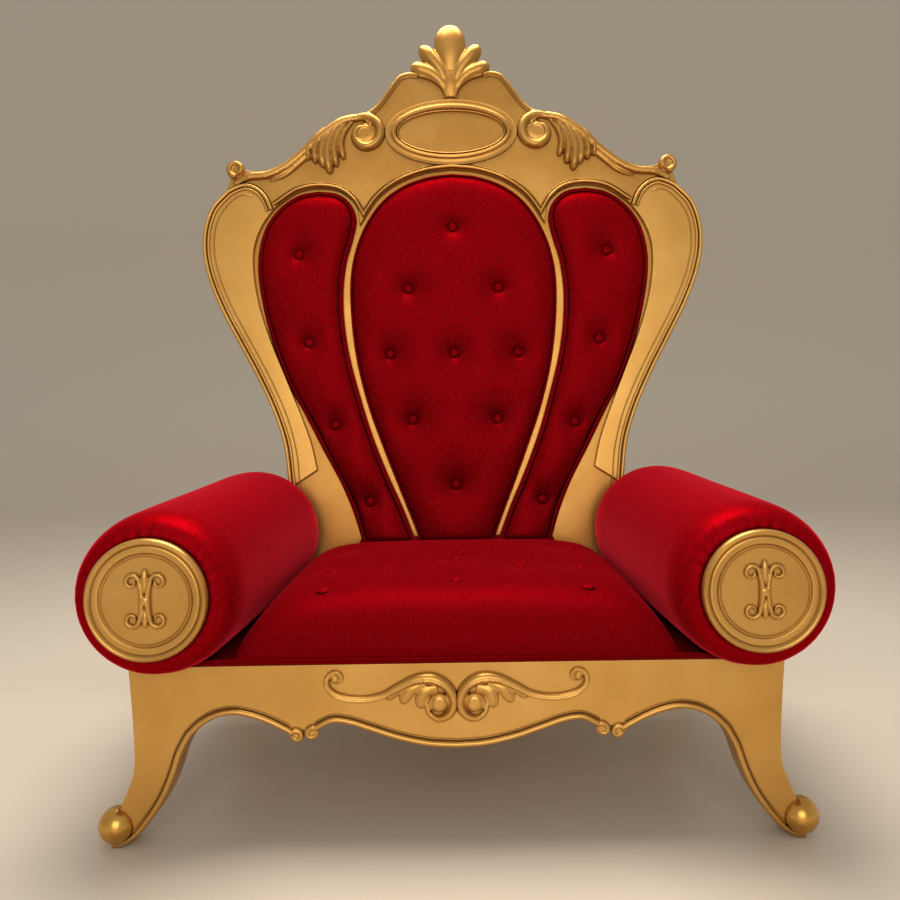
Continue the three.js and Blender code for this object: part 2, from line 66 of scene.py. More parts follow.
def standPlace(front):
    return Matrix(((1, 0, 0, 0), (0, 0, -1, front * mm), (0, 1, 0, 0), (0, 0, 0, 1)))


# small tools
def deselectAll():
    if bpy.context.object and bpy.context.object.mode != "OBJECT":
        bpy.ops.object.mode_set(mode="OBJECT")
    bpy.ops.object.select_all(action="DESELECT")


def makeActive(obj):
    deselectAll()
    obj.select_set(True)
    bpy.context.view_layer.objects.active = obj


def startEdit(obj):
    makeActive(obj)
    bpy.ops.object.mode_set(mode="EDIT")
    bpy.ops.mesh.select_all(action="SELECT")


def endEdit():
    bpy.ops.object.mode_set(mode="OBJECT")


def extrude(move):
    bpy.ops.mesh.extrude_region_move(TRANSFORM_OT_translate={"value": move})


def applyModifier(obj, kind, **settings):
    makeActive(obj)
    modifier = obj.modifiers.new(kind.title(), kind)
    for key, value in settings.items():
        setattr(modifier, key, value)
    bpy.ops.object.modifier_apply(modifier=modifier.name)


def settle(obj, place=None):
    # puts the piece in its place and bakes the place into its mesh
    if place is not None:
        obj.matrix_world = place @ obj.matrix_world
    makeActive(obj)
    bpy.ops.object.transform_apply(location=True, rotation=True, scale=True)
    return obj


def shadeSmooth(obj):
    makeActive(obj)
    bpy.ops.object.shade_smooth()


def shadeByAngle(obj, degrees=35):
    makeActive(obj)
    bpy.ops.object.shade_smooth_by_angle(angle=math.radians(degrees))
    applyModifier(obj, "WEIGHTED_NORMAL", weight=80, keep_sharp=True)  # keeps broad faces flat


def outward(obj, merge=0.02):
    # welds the seams and turns every face out
    startEdit(obj)
    bpy.ops.mesh.remove_doubles(threshold=merge * mm)
    bpy.ops.mesh.normals_make_consistent(inside=False)
    endEdit()


def joinAll(name, parts):
    deselectAll()
    for part in parts:
        part.select_set(True)
    bpy.context.view_layer.objects.active = parts[0]
    if len(parts) > 1:
        bpy.ops.object.join()
    parts[0].name = name
    return parts[0]


def copyOf(obj, name):
    twin = obj.copy()
    twin.data = obj.data.copy()
    twin.name = name
    bpy.context.collection.objects.link(twin)
    return twin


def mirrorOf(obj, name):
    # a twin with its own mesh on the other side of the middle
    twin = copyOf(obj, name)
    twin.matrix_world = Matrix.Scale(-1, 4, (1, 0, 0)) @ twin.matrix_world
    startEdit(settle(twin))
    bpy.ops.mesh.flip_normals()
    endEdit()
    return twin


def smoothLine(knots, steps):
    # an even, smooth line through the knots; further numbers of a knot, such as its size, are carried along
    points = np.array(knots, float)
    ends = np.vstack([2 * points[0] - points[1], points, 2 * points[-1] - points[-2]])
    fine = []
    for a, b, c, d in zip(ends, ends[1:], ends[2:], ends[3:]):
        gaps = [max(math.sqrt(np.linalg.norm((q - p)[:2])), 1e-3) for p, q in ((a, b), (b, c), (c, d))]
        ta, tb, tc, td = 0, gaps[0], gaps[0] + gaps[1], sum(gaps)
        for t in np.linspace(tb, tc, 24, endpoint=False):
            ab = a + (b - a) * (t - ta) / (tb - ta)
            bc = b + (c - b) * (t - tb) / (tc - tb)
            cd = c + (d - c) * (t - tc) / (td - tc)
            abc = ab + (bc - ab) * (t - ta) / (tc - ta)
            bcd = bc + (cd - bc) * (t - tb) / (td - tb)
            fine.append(abc + (bcd - abc) * (t - tb) / (tc - tb))
    fine = np.array(fine + [points[-1]])
    along = np.concatenate([[0], np.cumsum(np.linalg.norm(np.diff(fine[:, :2], axis=0), axis=1))])
    even = np.linspace(0, along[-1], steps + 1)
    return np.stack([np.interp(even, along, fine[:, k]) for k in range(fine.shape[1])], axis=1)


def chain(*runs):
    # joins the runs into one line and drops the doubled points where they meet
    points = []
    for run in runs:
        for point in run:
            if not points or math.dist(point[:2], points[-1][:2]) > 0.4:
                points.append(tuple(point))
    if math.dist(points[0][:2], points[-1][:2]) < 0.4:
        points.pop()
    return points


def leftOf(line, distance):
    # the line moved to its left
    line = np.array(line, float)
    along = np.gradient(line[:, :2], axis=0)
    along /= np.linalg.norm(along, axis=1)[:, None]
    moved = line.copy()
    moved[:, 0] -= along[:, 1] * distance
    moved[:, 1] += along[:, 0] * distance
    return moved


def mirrored(line):
    # the same line on the other side of the middle, run the other way
    twin = np.array(line, float)[::-1].copy()
    twin[:, 0] *= -1
    return twin


def crossMirror(line):
    # the same line on the other side of the middle, run the same way
    return np.column_stack([-line[:, 0], line[:, 1:]])


def drawCurve(name, points, closed, sizes=None):
    curve = bpy.data.curves.new(name, "CURVE")
    curve.dimensions = "2D"
    spline = curve.splines.new("POLY")
    spline.points.add(len(points) - 1)
    for i, (knot, point) in enumerate(zip(spline.points, points)):
        knot.co = (point[0] * mm, point[1] * mm, 0, 1)
        if sizes is not None:
            knot.radius = max(sizes[i], 0.02)
    spline.use_cyclic_u = closed
    obj = bpy.data.objects.new(name, curve)
    bpy.context.collection.objects.link(obj)
    return obj


def asMesh(obj):
    makeActive(obj)
    bpy.ops.object.convert(target="MESH")
    outward(obj)
    return obj


def flatShape(name, outline, low, high, roundness=1.6):
    # a board sawn to the outline with its edges rounded over; low and high are its two faces
    board = drawCurve(name, outline, True)
    board.data.fill_mode = "BOTH"
    board.data.extrude = ((high - low) / 2 - roundness) * mm
    board.data.bevel_depth = roundness * mm
    board.data.bevel_resolution = 3
    board.data.offset = -roundness * mm
    board.location.z = (low + high) / 2 * mm
    return settle(asMesh(board))


def halfRound(width, height, depth, steps=10):
    # half an ellipse on a foot that is sunk in the ground
    bow = [(math.cos(math.pi * i / steps) * width / 2, math.sin(math.pi * i / steps) * height)
           for i in range(steps + 1)]
    return [(width / 2, -depth), *bow, (-width / 2, -depth)]


def sweep(name, line, profile, base=0, closed=False):
    # the profile's first number points to the right of the line, its second up;
    # a third number in the line is its size there
    cutter = drawCurve(name + ".profile", profile, True)
    sizes = [row[2] for row in line] if len(line[0]) > 2 else None
    path = drawCurve(name, line, closed, sizes)
    path.data.bevel_mode = "OBJECT"
    path.data.bevel_object = cutter
    path.data.use_fill_caps = not closed
    path.location.z = base * mm
    asMesh(path)
    bpy.data.objects.remove(cutter, do_unlink=True)
    return settle(path)


def lobeLine(knots, root, fullAt, steps=26):
    # a leaf's middle line: it swells from its root and closes in a round tip
    line = smoothLine(knots, 200)
    t = np.sin(np.linspace(0, math.pi / 2, steps + 1))
    picked = np.stack([np.interp(t, np.linspace(0, 1, 201), line[:, k]) for k in (0, 1)], axis=1)
    swell = np.where(
        t < fullAt,
        root + (1 - root) * np.sin(np.clip(t / fullAt, 0, 1) * math.pi / 2),
        np.sqrt(np.clip(1 - ((t - fullAt) / (1 - fullAt)) ** 2, 0.003, 1)),
    )
    return np.column_stack([picked, swell])


def roundProfile(radius):
    angles = np.linspace(0, 2 * math.pi, 12, endpoint=False)
    return [(math.cos(a) * radius, math.sin(a) * radius) for a in angles]


def spun(name, section, turns, axis, merge):
    # a shape turned on a lathe; the section's points are away from the axis and along it
    mesh = bpy.data.meshes.new(name)
    points = [[(away * across + up * along) * mm for across, along in zip((1, 0, 0), axis)] for away, up in section]
    mesh.from_pydata(points, [(i, i + 1) for i in range(len(section) - 1)], [])
    obj = bpy.data.objects.new(name, mesh)
    bpy.context.collection.objects.link(obj)
    startEdit(obj)
    bpy.ops.mesh.spin(steps=turns, angle=2 * math.pi, center=(0, 0, 0), axis=axis)
    endEdit()
    outward(obj, merge)
    return obj


def windIn(x, y, rows, steps=60):
    # a line wound about a centre; each row is an angle in degrees, a radius and a size
    rows = np.array(rows, float)
    angles = np.linspace(rows[0, 0], rows[-1, 0], steps + 1)
    order = np.argsort(rows[:, 0])
    radius = np.interp(angles, rows[order, 0], rows[order, 1])
    size = np.interp(angles, rows[order, 0], rows[order, 2])
    turn = np.radians(angles)
    return np.column_stack([x + radius * np.cos(turn), y + radius * np.sin(turn), size])


def dome(name, x, y, radius, height, base=0):
    # a low round boss with a flat crown, drawn up ring by ring from a disc that is sunk in the ground
    flat, turns, sunk = 0.35, 6, 6
    bpy.ops.mesh.primitive_circle_add(vertices=40, radius=radius * mm, fill_type="NGON",
                                      location=(x * mm, y * mm, (base - sunk) * mm))
    boss = bpy.context.object
    boss.name = name
    startEdit(boss)
    extrude((0, 0, sunk * mm))
    angles = [math.pi / 2 * i / (turns + 0.5) for i in range(turns + 1)]
    for before, after in zip(angles, angles[1:]):
        lift = height * (math.sin(after) - math.sin(before))
        extrude((0, 0, lift * mm))
        scale = (math.cos(after) * (1 - flat) + flat) / (math.cos(before) * (1 - flat) + flat)
        bpy.ops.transform.resize(value=(scale, scale, 1), center_override=(x * mm, y * mm, 0))
    endEdit()
    outward(boss)
    return settle(boss)


def softened(obj, grain, softening):
    # wraps the shape in one even skin and smooths it
    applyModifier(obj, "REMESH", mode="VOXEL", voxel_size=grain * mm, use_smooth_shade=True)
    applyModifier(obj, "SMOOTH", factor=0.5, iterations=softening)
    return obj


def carve(obj, grain, softening, ground=None):
    # melts the joined shapes into one, as a carver leaves them, and takes off what lies under the ground
    softened(obj, grain, softening)
    if ground is not None:
        startEdit(obj)
        bpy.ops.mesh.bisect(plane_co=(0, 0, ground * mm), plane_no=(0, 0, 1), use_fill=True, clear_inner=True)
        endEdit()
    return obj


# materials
def linear(hexColour):
    # a hex colour as the linear numbers that a socket takes
    values = [int(hexColour[i:i + 2], 16) / 255 for i in (1, 3, 5)]
    return (*[v / 12.92 if v <= 0.04045 else ((v + 0.055) / 1.055) ** 2.4 for v in values], 1)


def addNode(tree, kind, settings=None, **links):
    # adds a node, sets its fields and sockets, and links its inputs by name, or by number as i0, i1 and so on
    node = tree.nodes.new(kind)
    for key, value in (settings or {}).items():
        if isinstance(key, int) or key in node.inputs:
            node.inputs[key].default_value = value
        else:
            setattr(node, key, value)
    for key, source in links.items():
        tree.links.new(source, node.inputs[int(key[1:]) if key[1:].isdigit() else key.replace("_", " ")])
    return node


def ramp(node, stops):
    # stops are (position, hex colour)
    elements = node.color_ramp.elements
    while len(elements) < len(stops):
        elements.new(0.5)
    for element, (position, colour) in zip(elements, stops):
        element.position = position
        element.color = linear(colour)
    return node.outputs["Color"]


def noise(tree, place, grain, detail, roughness=0.5):
    # grain is the size of its patches
    settings = {"Scale": 1 / grain, "Detail": detail, "Roughness": roughness}
    return addNode(tree, "ShaderNodeTexNoise", settings, Vector=place).outputs["Fac"]


def fill(node, values):
    for name, value in values.items():
        node.inputs[name].default_value = value


def newMaterial(name):
    material = bpy.data.materials.new(name)
    material.use_nodes = True
    tree = material.node_tree
    return material, tree, tree.nodes["Principled BSDF"]


def darkenHollows(tree, shader, tone, shade, reach, depth, samples):
    # the base colour, darker in creases and hollows: a brown glaze on the gilt, painted shade on the velvet
    hollow = addNode(tree, "ShaderNodeAmbientOcclusion", {"Distance": reach * mm, "samples": samples})
    span = {"From Min": depth, "From Max": 0.92, "To Min": 1.0, "To Max": 0.0}
    share = addNode(tree, "ShaderNodeMapRange", span, Value=hollow.outputs["AO"])
    colour = addNode(tree, "ShaderNodeMix", {"data_type": "RGBA", 7: linear(shade)},
                     i0=share.outputs["Result"], i6=tone)
    tree.links.new(colour.outputs[2], shader.inputs["Base Color"])


def roughen(tree, shader, height, strength, distance):
    bump = addNode(tree, "ShaderNodeBump", {"Strength": strength, "Distance": distance * mm}, Height=height)
    tree.links.new(bump.outputs["Normal"], shader.inputs["Normal"])


def giltMaterial(name, look):
    # gold bronze paint over carved wood, glazed brown in the hollows: a satin metal with an even, soft glow
    material, tree, shader = newMaterial(name)
    place = addNode(tree, "ShaderNodeTexCoord").outputs["Object"]
    cloud = noise(tree, place, look["patch"] * mm, 3, 0.55)
    tone = ramp(addNode(tree, "ShaderNodeValToRGB", Fac=cloud),
                [(0.3, look["dark"]), (0.5, look["base"]), (0.72, look["light"])])
    darkenHollows(tree, shader, tone, look["glaze"], look["glazeReach"], 0.35, 12)
    fill(shader, {"Metallic": look["metallic"]})
    wear = {"To Min": look["rough"] - 0.05, "To Max": look["rough"] + 0.06}
    rough = addNode(tree, "ShaderNodeMapRange", wear, Value=noise(tree, place, 9 * mm, 2))
    tree.links.new(rough.outputs["Result"], shader.inputs["Roughness"])
    roughen(tree, shader, noise(tree, place, 3.2 * mm, 2), 0.10, 0.5)  # the spray's skin, coarse enough to show
    return material


giltLook = {"base": "#CB9A4F", "dark": "#C39248", "light": "#D2A359", "glaze": "#54300C",
            "patch": 140, "glazeReach": 5, "metallic": 0.8, "rough": 0.32}
# painted shade: the same gold paint made darker, for the back board and the crest
shadedGiltLook = {**giltLook, "base": "#B4843F", "dark": "#AA7A37", "light": "#BE8F4B"}
ballLook = {"base": "#CE9C4C", "dark": "#C08D40", "light": "#DAAA5C", "glaze": "#5A3208",
            "patch": 30, "glazeReach": 6, "metallic": 0.9, "rough": 0.26}
velvetLook = {"base": "#7A040C", "dark": "#6C030A", "light": "#8A0510", "sheen": "#FF3044", "creaseShade": "#240104",
              "sheenWeight": 0.7, "glint": 0.42}
# painted shade: the same velvet made darker, for the seat
shadedSeatLook = {**velvetLook, "base": "#70030A", "dark": "#680309", "light": "#7A040C",
            "sheenWeight": 0.26, "glint": 0.2}
# painted highlight: the same velvet made lighter, for the bolsters
litBolsterLook = {**velvetLook, "base": "#8A040E", "dark": "#7E030B", "light": "#960511",
               "sheen": "#FF384C", "sheenWeight": 0.95}


def velvetMaterial(name, look):
    # cotton velvet: a dense cut pile, dark where looked into and bright where brushed over or seen edge on
    material, tree, shader = newMaterial(name)
    place = addNode(tree, "ShaderNodeTexCoord").outputs["Object"]
    # strokes left by a hand over the pile
    strokes = {"Rotation": (0.5, 0.7, 0.3), "Scale": (1 / (4 * mm), 1 / (34 * mm), 1 / (9 * mm))}
    brushed = noise(tree, addNode(tree, "ShaderNodeMapping", strokes, Vector=place).outputs["Vector"], 1, 3, 0.6)
    tone = ramp(addNode(tree, "ShaderNodeValToRGB", Fac=brushed),
                [(0.3, look["dark"]), (0.5, look["base"]), (0.7, look["light"])])
    # painted shade: the velvet's colour darkened in creases, along the welts and round the buttons
    darkenHollows(tree, shader, tone, look["creaseShade"], 11, 0.5, 10)
    tint = linear(look["sheen"])
    fill(shader, {
        "Metallic": look["glint"],  # the pile's glints take the dye's colour
        "Roughness": 0.46, "Specular IOR Level": 0.0, "Specular Tint": tint,
        "Sheen Weight": look["sheenWeight"], "Sheen Roughness": 0.28, "Sheen Tint": tint,
    })
    pile = noise(tree, place, 2 * mm, 3, 0.7)  # coarse enough to show
    both = addNode(tree, "ShaderNodeMath", {"operation": "MULTIPLY_ADD", 1: 0.7}, i0=brushed, i2=pile)
    roughen(tree, shader, both.outputs[0], 0.24, 0.9)
    return material


gilt = giltMaterial("satinGoldPaint", giltLook)
shadedGilt = giltMaterial("goldPaintPaintedShade", shadedGiltLook)  # painted shade: a darker copy of the gold paint, for the back board and the crest
ballGold = giltMaterial("polishedGoldLacquer", ballLook)
velvet = velvetMaterial("crimsonCottonVelvet", velvetLook)
litBolsterVelvet = velvetMaterial("litBolsterVelvet", litBolsterLook)  # painted highlight: a lighter copy of the velvet with more sheen, so the bolsters' tops look pale
shadedSeatVelvet = velvetMaterial("seatVelvetPaintedShade", shadedSeatLook)  # painted shade: a darker copy of the velvet with less sheen, so the seat's top stays deep
print("materials ready")


def finish(obj, material, node):
    # gives the piece its material and its body, and lets it stand for its CAD node
    obj.data.materials.clear()
    obj.data.materials.append(material)
    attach(obj, "root")
    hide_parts(node)
    return obj


# the aprons: a sawn board with two legs, a bead along its lower edge and a carved scroll
apron = {
    "middle": [(0, 168), (48, 171), (101, 182), (153, 199), (190, 211), (218, 214), (243, 203)],
    "arch": [(300, 199), (330, 214), (360, 225), (390, 231), (418, 227), (444, 214), (466, 194)],
    "legInner": [(466, 194), (482, 164), (494, 128), (513, 85), (536, 50), (562, 20), (584, 5)],
    "legOuter": [(592, 70), (578, 102), (568, 130), (566, 158), (568, 215), (571, 262), (575, 316)],
    "curls": [(255, 196.5), (281, 192.5)],
    "beadWidth": 11.5, "beadHeight": 7, "lineGap": 2.2,
    "ball": {"x": 601, "z": 37, "radius": 32, "behind": 10},
}


def apronOutline():
    half = chain(smoothLine(apron["middle"], 40), smoothLine(apron["arch"], 30),
                 smoothLine(apron["legInner"], 34), [(594, 0), (608, 0), (608, 8)],
                 smoothLine(apron["legOuter"], 40))
    return chain(half, mirrored(half))


def apronBeads():
    # the beads of the right half, with the two small curls where they meet
    width, height, lineGap = apron["beadWidth"], apron["beadHeight"], apron["lineGap"]
    bead = halfRound(width, height, 5)
    inner = halfRound(2.6, 2.2, 4, 4)
    side = np.array(chain(smoothLine(apron["arch"], 40), smoothLine(apron["legInner"], 44), [(601, 4)]))
    taper = np.interp(np.linspace(0, 1, len(side)), [0, 0.8, 1], [1, 1, 0.62])
    middle = smoothLine(apron["middle"], 40)
    (midX, midZ), (archX, archZ) = apron["curls"]
    midCurl = windIn(midX, midZ, [(125, 11, 0.95), (60, 8.6, 0.88), (0, 7.8, 0.82), (-90, 7, 0.72),
                                  (-180, 5.6, 0.55), (-300, 2.5, 0.35)], 50)
    archCurl = windIn(archX, archZ, [(35, 11, 0.95), (90, 8.8, 0.88), (180, 7.8, 0.82), (270, 7, 0.72),
                                     (360, 5.6, 0.55), (480, 2.5, 0.35)], 50)
    sideRun = np.column_stack([leftOf(side, width / 2 - 0.5), taper])
    middleRun = np.column_stack([leftOf(middle, width / 2 - 0.5), np.ones(len(middle))])
    parts = [
        sweep("sideBead", chain(archCurl[::-1], sideRun), bead),
        sweep("sideLine", np.column_stack([leftOf(side, width + lineGap), taper]), inner),
        sweep("middleBead", chain(middleRun, midCurl), bead),
        sweep("middleLine", leftOf(middle, width + lineGap), inner),
    ]
    for x, z in apron["curls"]:
        parts.append(dome("curlGround", x, z, 12, 3))
    return parts


def apronScroll():
    # the right half of the ornament: a long stem with a curl, a scroll round a boss, and three feathers
    stem = smoothLine([(211, 285, 0.2), (204.5, 287, 0.4), (202.5, 294, 0.52), (208, 300.5, 0.6),
                       (217, 300.5, 0.66), (225, 293, 0.74), (227, 281, 0.85), (217, 267, 0.95), (192, 257, 1),
                       (160, 255, 1), (130, 261, 1.05), (102, 275, 1.25), (72, 288, 1.5), (44, 290, 1.7),
                       (20, 278, 1.7), (7, 258, 1.55), (7, 238, 1.4), (17, 224, 1.25), (32, 219, 1.05),
                       (47, 226, 0.8), (53, 240, 0.55), (51, 252, 0.35), (44, 259, 0.2)], 180)
    parts = [sweep("stem", stem, halfRound(11.5, 7.5, 3, 12)),
             sweep("stemLine", leftOf(stem, 3.4), halfRound(2.4, 9.0, 2, 4)),
             dome("boss", 31, 246, 16.5, 8),
             dome("curlBoss", 213, 290, 7.5, 5.5)]
    bossRing = windIn(31, 246, [(-60, 17, 0.4), (30, 17, 1), (130, 17, 1), (200, 15.5, 0.5)], 40)
    parts.append(sweep("bossRing", bossRing, halfRound(3.4, 7.0, 3, 6)))
    for knots, width in (([(34, 272), (58, 264), (65, 236)], 22), ([(54, 278), (82, 269), (97, 245)], 22),
                         ([(84, 274), (108, 267), (124, 253)], 17)):
        petal = lobeLine(knots, 0.55, 0.66)
        parts.append(sweep("feather", petal, halfRound(width, 5.2, 2.5, 12)))
        vein = petal[4:-5].copy()
        vein[:, 2] *= 0.62
        parts.append(sweep("featherHeart", vein, halfRound(width, 9.5, 2.5, 12)))
    return parts


def makeFrontApron():
    board = flatShape("frontApron", apronOutline(), -throne["apronThick"], 0)
    relief = carve(joinAll("apronScroll", apronScroll()), 1.3, 2, ground=-0.4)
    relief = joinAll("apronRelief", [relief, *apronBeads()])
    twin = mirrorOf(relief, "apronReliefLeft")
    whole = joinAll("frontApron", [board, relief, twin])
    settle(whole, standPlace(throne["apronFront"]))
    shadeByAngle(whole)
    finish(whole, gilt, "front_apron")


def makeRearApron():
    board = flatShape("rearApron", apronOutline(), -throne["rearThick"], 0)
    settle(board, standPlace(throne["rearFront"]))
    shadeByAngle(board)
    finish(board, gilt, "rear_apron")


def makeFootBall(name, node, side):
    size = apron["ball"]
    bpy.ops.mesh.primitive_uv_sphere_add(segments=48, ring_count=32, radius=size["radius"] * mm)
    ball = bpy.context.object
    ball.name = name
    ball.location = (side * size["x"] * mm, (throne["apronFront"] + size["behind"]) * mm, size["z"] * mm)
    shadeSmooth(settle(ball))
    finish(ball, ballGold, node)


makeFrontApron()
makeRearApron()
makeFootBall("footBallLeft", "foot_ball_left", -1)
makeFootBall("footBallRight", "foot_ball_right", 1)
print("aprons and feet ready")


# the rails and the seat deck: planed boards with eased edges
def makeBoard(name, node):
    low, high = (Vector(corner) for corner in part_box(node))
    bpy.ops.mesh.primitive_cube_add(size=1, location=(low + high) / 2, scale=high - low)
    board = bpy.context.object
    board.name = name
    settle(board)
    applyModifier(board, "BEVEL", width=1.5 * mm, segments=3)
    shadeByAngle(board)
    finish(board, gilt, node)


makeBoard("sideRailLeft", "side_rail_left")
makeBoard("sideRailRight", "side_rail_right")
makeBoard("seatDeck", "seat_deck")
print("rails and deck ready")

# the back: a sawn board, an ear on each side and the crest over the pads
backShape = {
    "earOuter": [(428, 146), (432, 190), (441, 258), (468, 342), (512, 437), (556, 519), (603, 608),
                 (637, 692), (652, 762), (650, 828), (630, 886), (590, 930)],
    "earArch": [(590, 930), (566, 942), (540, 948), (508, 936), (484, 910), (470, 878)],
    "earInner": [(470, 878), (500, 833), (519, 780), (521, 715), (507, 628), (478, 535), (441, 443),
                 (398, 337), (371, 262), (355, 193)],
    "band": [(520, 979), (485, 983), (447, 1000), (408, 1030), (365, 1070), (325, 1102), (285, 1126),
             (226, 1133)],
    "shoulder": [(226, 1133), (198, 1154), (176, 1183), (153, 1216), (134, 1236), (105, 1243)],
    "sideArch": [(449, 880), (400, 912), (350, 921), (301, 913), (270, 888), (258, 868)],
    "middleArch": [(232, 825), (183, 897), (131, 935), (65, 959), (0, 967)],
    "overPad": 13,
}


def boardOutline():
    crest = chain(smoothLine([(590, 930), (556, 946), (520, 979), *backShape["band"][1:]], 60),
                  smoothLine(backShape["shoulder"], 30))
    edge = chain(smoothLine(backShape["earOuter"], 80), crest)
    half = chain([(426, throne["boardFoot"])], leftOf(edge, 5), [(60, 1236)])
    return chain(half, mirrored(half))


def makeBackBoard():
    board = flatShape("backBoard", boardOutline(), throne["boardBack"], throne["boardFace"])
    settle(board, backPlace)
    shadeByAngle(board)
    finish(board, shadedGilt, "back_board")


def makeEar(name, node, side):
    face = throne["carvedFace"]
    outer, arch = smoothLine(backShape["earOuter"], 90), smoothLine(backShape["earArch"], 34)
    outline = chain(outer, arch, smoothLine(backShape["earInner"], 70))
    board = flatShape("earBoard", outline, throne["boardFace"] + 0.3, face, 2)
    edge = np.array(chain(outer, arch))
    beads = [
        sweep("earBead", leftOf(edge, 5.6), halfRound(11, 6.5, 4), face),
        sweep("earInnerBead", leftOf(edge, 15.2), halfRound(7.5, 4.5, 4), face),
        sweep("earCove", smoothLine(leftOf(edge, 29.5)[0:-8:9], 90), halfRound(2.6, 2.4, 4, 6), face),
    ]
    ear = joinAll(name, [board, *beads])
    if side < 0:
        twin = mirrorOf(ear, name)
        bpy.data.objects.remove(ear, do_unlink=True)
        ear = twin
        ear.name = name
    settle(ear, backPlace)
    shadeByAngle(ear)
    finish(ear, gilt, node)


def crestLower():
    # the crest's lower edge over a side pad and over half of the middle pad
    sideArch = leftOf(smoothLine(backShape["sideArch"], 50), -backShape["overPad"])
    middleArch = leftOf(smoothLine(backShape["middleArch"], 44), -backShape["overPad"])
    middleArch[-1][0] = 0
    return sideArch, middleArch


def crestOutline():
    sideArch, middleArch = crestLower()
    overEar = leftOf(smoothLine(backShape["earArch"], 30), -1.3)
    top = chain(smoothLine([(545, 984), *backShape["band"]], 60), smoothLine(backShape["shoulder"], 30))
    half = chain([(0, 1236)], top[::-1], [(585, 978), (581, 960)], overEar, sideArch, middleArch)
    return chain(half, mirrored(half))


def crossing(a, b, c, d):
    # where the line a to b, carried on, meets the line c to d
    across, along, gap = np.subtract(b, a), np.subtract(d, c), np.subtract(c, a)
    t = (gap[0] * along[1] - gap[1] * along[0]) / (across[0] * along[1] - across[1] * along[0])
    return list(np.add(a, across * t))


def archLine(offset):
    # one line over all three pads, mitred where two arches meet
    sideArch, middleArch = crestLower()
    side, middle = ([list(row[:2]) for row in leftOf(arch, offset)] for arch in (sideArch, middleArch))
    cusp = crossing(side[-4], side[-1], middle[3], middle[0])
    sideWay, middleWay = np.subtract(side[-1], side[-4]), np.subtract(middle[3], middle[0])
    while np.dot(np.subtract(cusp, side[-1]), sideWay) <= 0:
        side.pop()
    while np.dot(np.subtract(middle[0], cusp), middleWay) <= 0:
        middle.pop(0)
    start = np.subtract(side[0], side[1]) / math.dist(side[0], side[1])
    half = chain([side[0] + 9 * start], side, [cusp], middle)
    return chain(half, mirrored(half))


def crestPalmette():
    face = throne["carvedFace"]
    heart = lobeLine([(0, 1172), (0, 1215), (0, 1268)], 0.5, 0.5)
    top = lobeLine([(0, 1200), (0, 1290), (0, 1371)], 0.06, 0.72)
    parts = [sweep("heart", heart, halfRound(58, 12, 10, 14), face),
             sweep("centreLobe", top, halfRound(84, 20, 12, 16), face)]
    upper = lobeLine([(5, 1190), (22, 1240), (52, 1282), (80, 1313)], 0.3, 0.76)
    lower = lobeLine([(8, 1180), (20, 1208), (48, 1237), (105, 1260)], 0.35, 0.78)
    for line, width, height in ((upper, 42, 18), (lower, 40, 16)):
        for twin in (line, crossMirror(line)):
            parts.append(sweep("lobe", twin, halfRound(width, height, 10, 14), face))
    stem = smoothLine([(14, 1166), (15, 1182), (26, 1202), (52, 1221), (84, 1231)], 40)
    for twin in (stem, crossMirror(stem)):
        parts.append(sweep("stemEdge", twin, halfRound(7, 9, 10, 8), face))
    return carve(joinAll("palmette", parts), 2.0, 4)


def crestVolute():
    # the wound roll, the leaf that falls from it, the long roll of the crest's edge and its end curl
    face = throne["carvedFace"]
    x, up = 226, 1078
    coil = windIn(x, up, [(50, 47, 0.62), (95, 44, 0.86), (180, 39, 0.93), (270, 37, 0.9), (345, 29, 0.72),
                          (430, 17.5, 0.5), (540, 9.5, 0.36), (620, 5, 0.25)], 110)
    parts = [sweep("coil", coil, halfRound(28, 17, 8, 14), face), dome("coilGround", x - 1, up, 30, 7, face)]
    strands = [
        ([(258, 1112), (282, 1080), (291, 1046), (282, 1006)], 18, 12),
        ([(270, 1116), (298, 1076), (309, 1034), (301, 986)], 21, 15),
        ([(283, 1117), (316, 1070), (327, 1022), (318, 968)], 26, 17),
        ([(300, 1113), (333, 1067), (343, 1026), (337, 985)], 21, 15),
        ([(316, 1106), (348, 1066), (360, 1032), (357, 996)], 18, 14),
        ([(334, 1094), (362, 1066), (376, 1040), (374, 1006)], 15, 13),
    ]
    for knots, width, height in strands:
        parts.append(sweep("strand", lobeLine(knots, 0.45, 0.8), halfRound(width, height, 6, 14), face))
    edge = smoothLine([(578, 958), (560, 968), (530, 979), *backShape["band"][1:], (200, 1118)], 110)
    roll = leftOf(edge, 13.4)
    rollSize = np.interp(np.linspace(0, 1, len(roll)), [0, 0.1, 0.75, 1], [0.5, 0.85, 1, 0.6])
    rollLine = leftOf(roll, 7.5)
    strip = smoothLine([(372, 1026, 1), (405, 996, 0.95), (440, 967, 0.7), (480, 950, 0.2)], 50)
    curl = windIn(567, 983, [(-95, 17, 0.8), (0, 17, 0.95), (90, 16.5, 0.95), (180, 14.5, 0.85), (290, 9, 0.6),
                             (380, 5, 0.4)], 70)
    shoulder = leftOf(smoothLine([*backShape["shoulder"], (84, 1240)], 50), 6)
    parts += [
        sweep("roll", np.column_stack([roll, rollSize]), halfRound(26, 13, 6, 14), face),
        sweep("rollLine", np.column_stack([rollLine, rollSize]), halfRound(4, 13.5, 6, 6), face),
        sweep("strip", strip, halfRound(17, 9, 5, 10), face),
        sweep("stripLine", leftOf(strip, 6), halfRound(3.6, 10.5, 5, 6), face),
        sweep("endCurl", curl, halfRound(18, 15, 14, 12), face),
        dome("curlHeart", 567, 983, 21, 9, face),
        sweep("shoulderBead", shoulder, halfRound(11.5, 8, 6), face),
        sweep("shoulderLine", leftOf(shoulder, 8), halfRound(3, 3.5, 6, 6), face),
    ]
    return carve(joinAll("volute", parts), 1.8, 3)


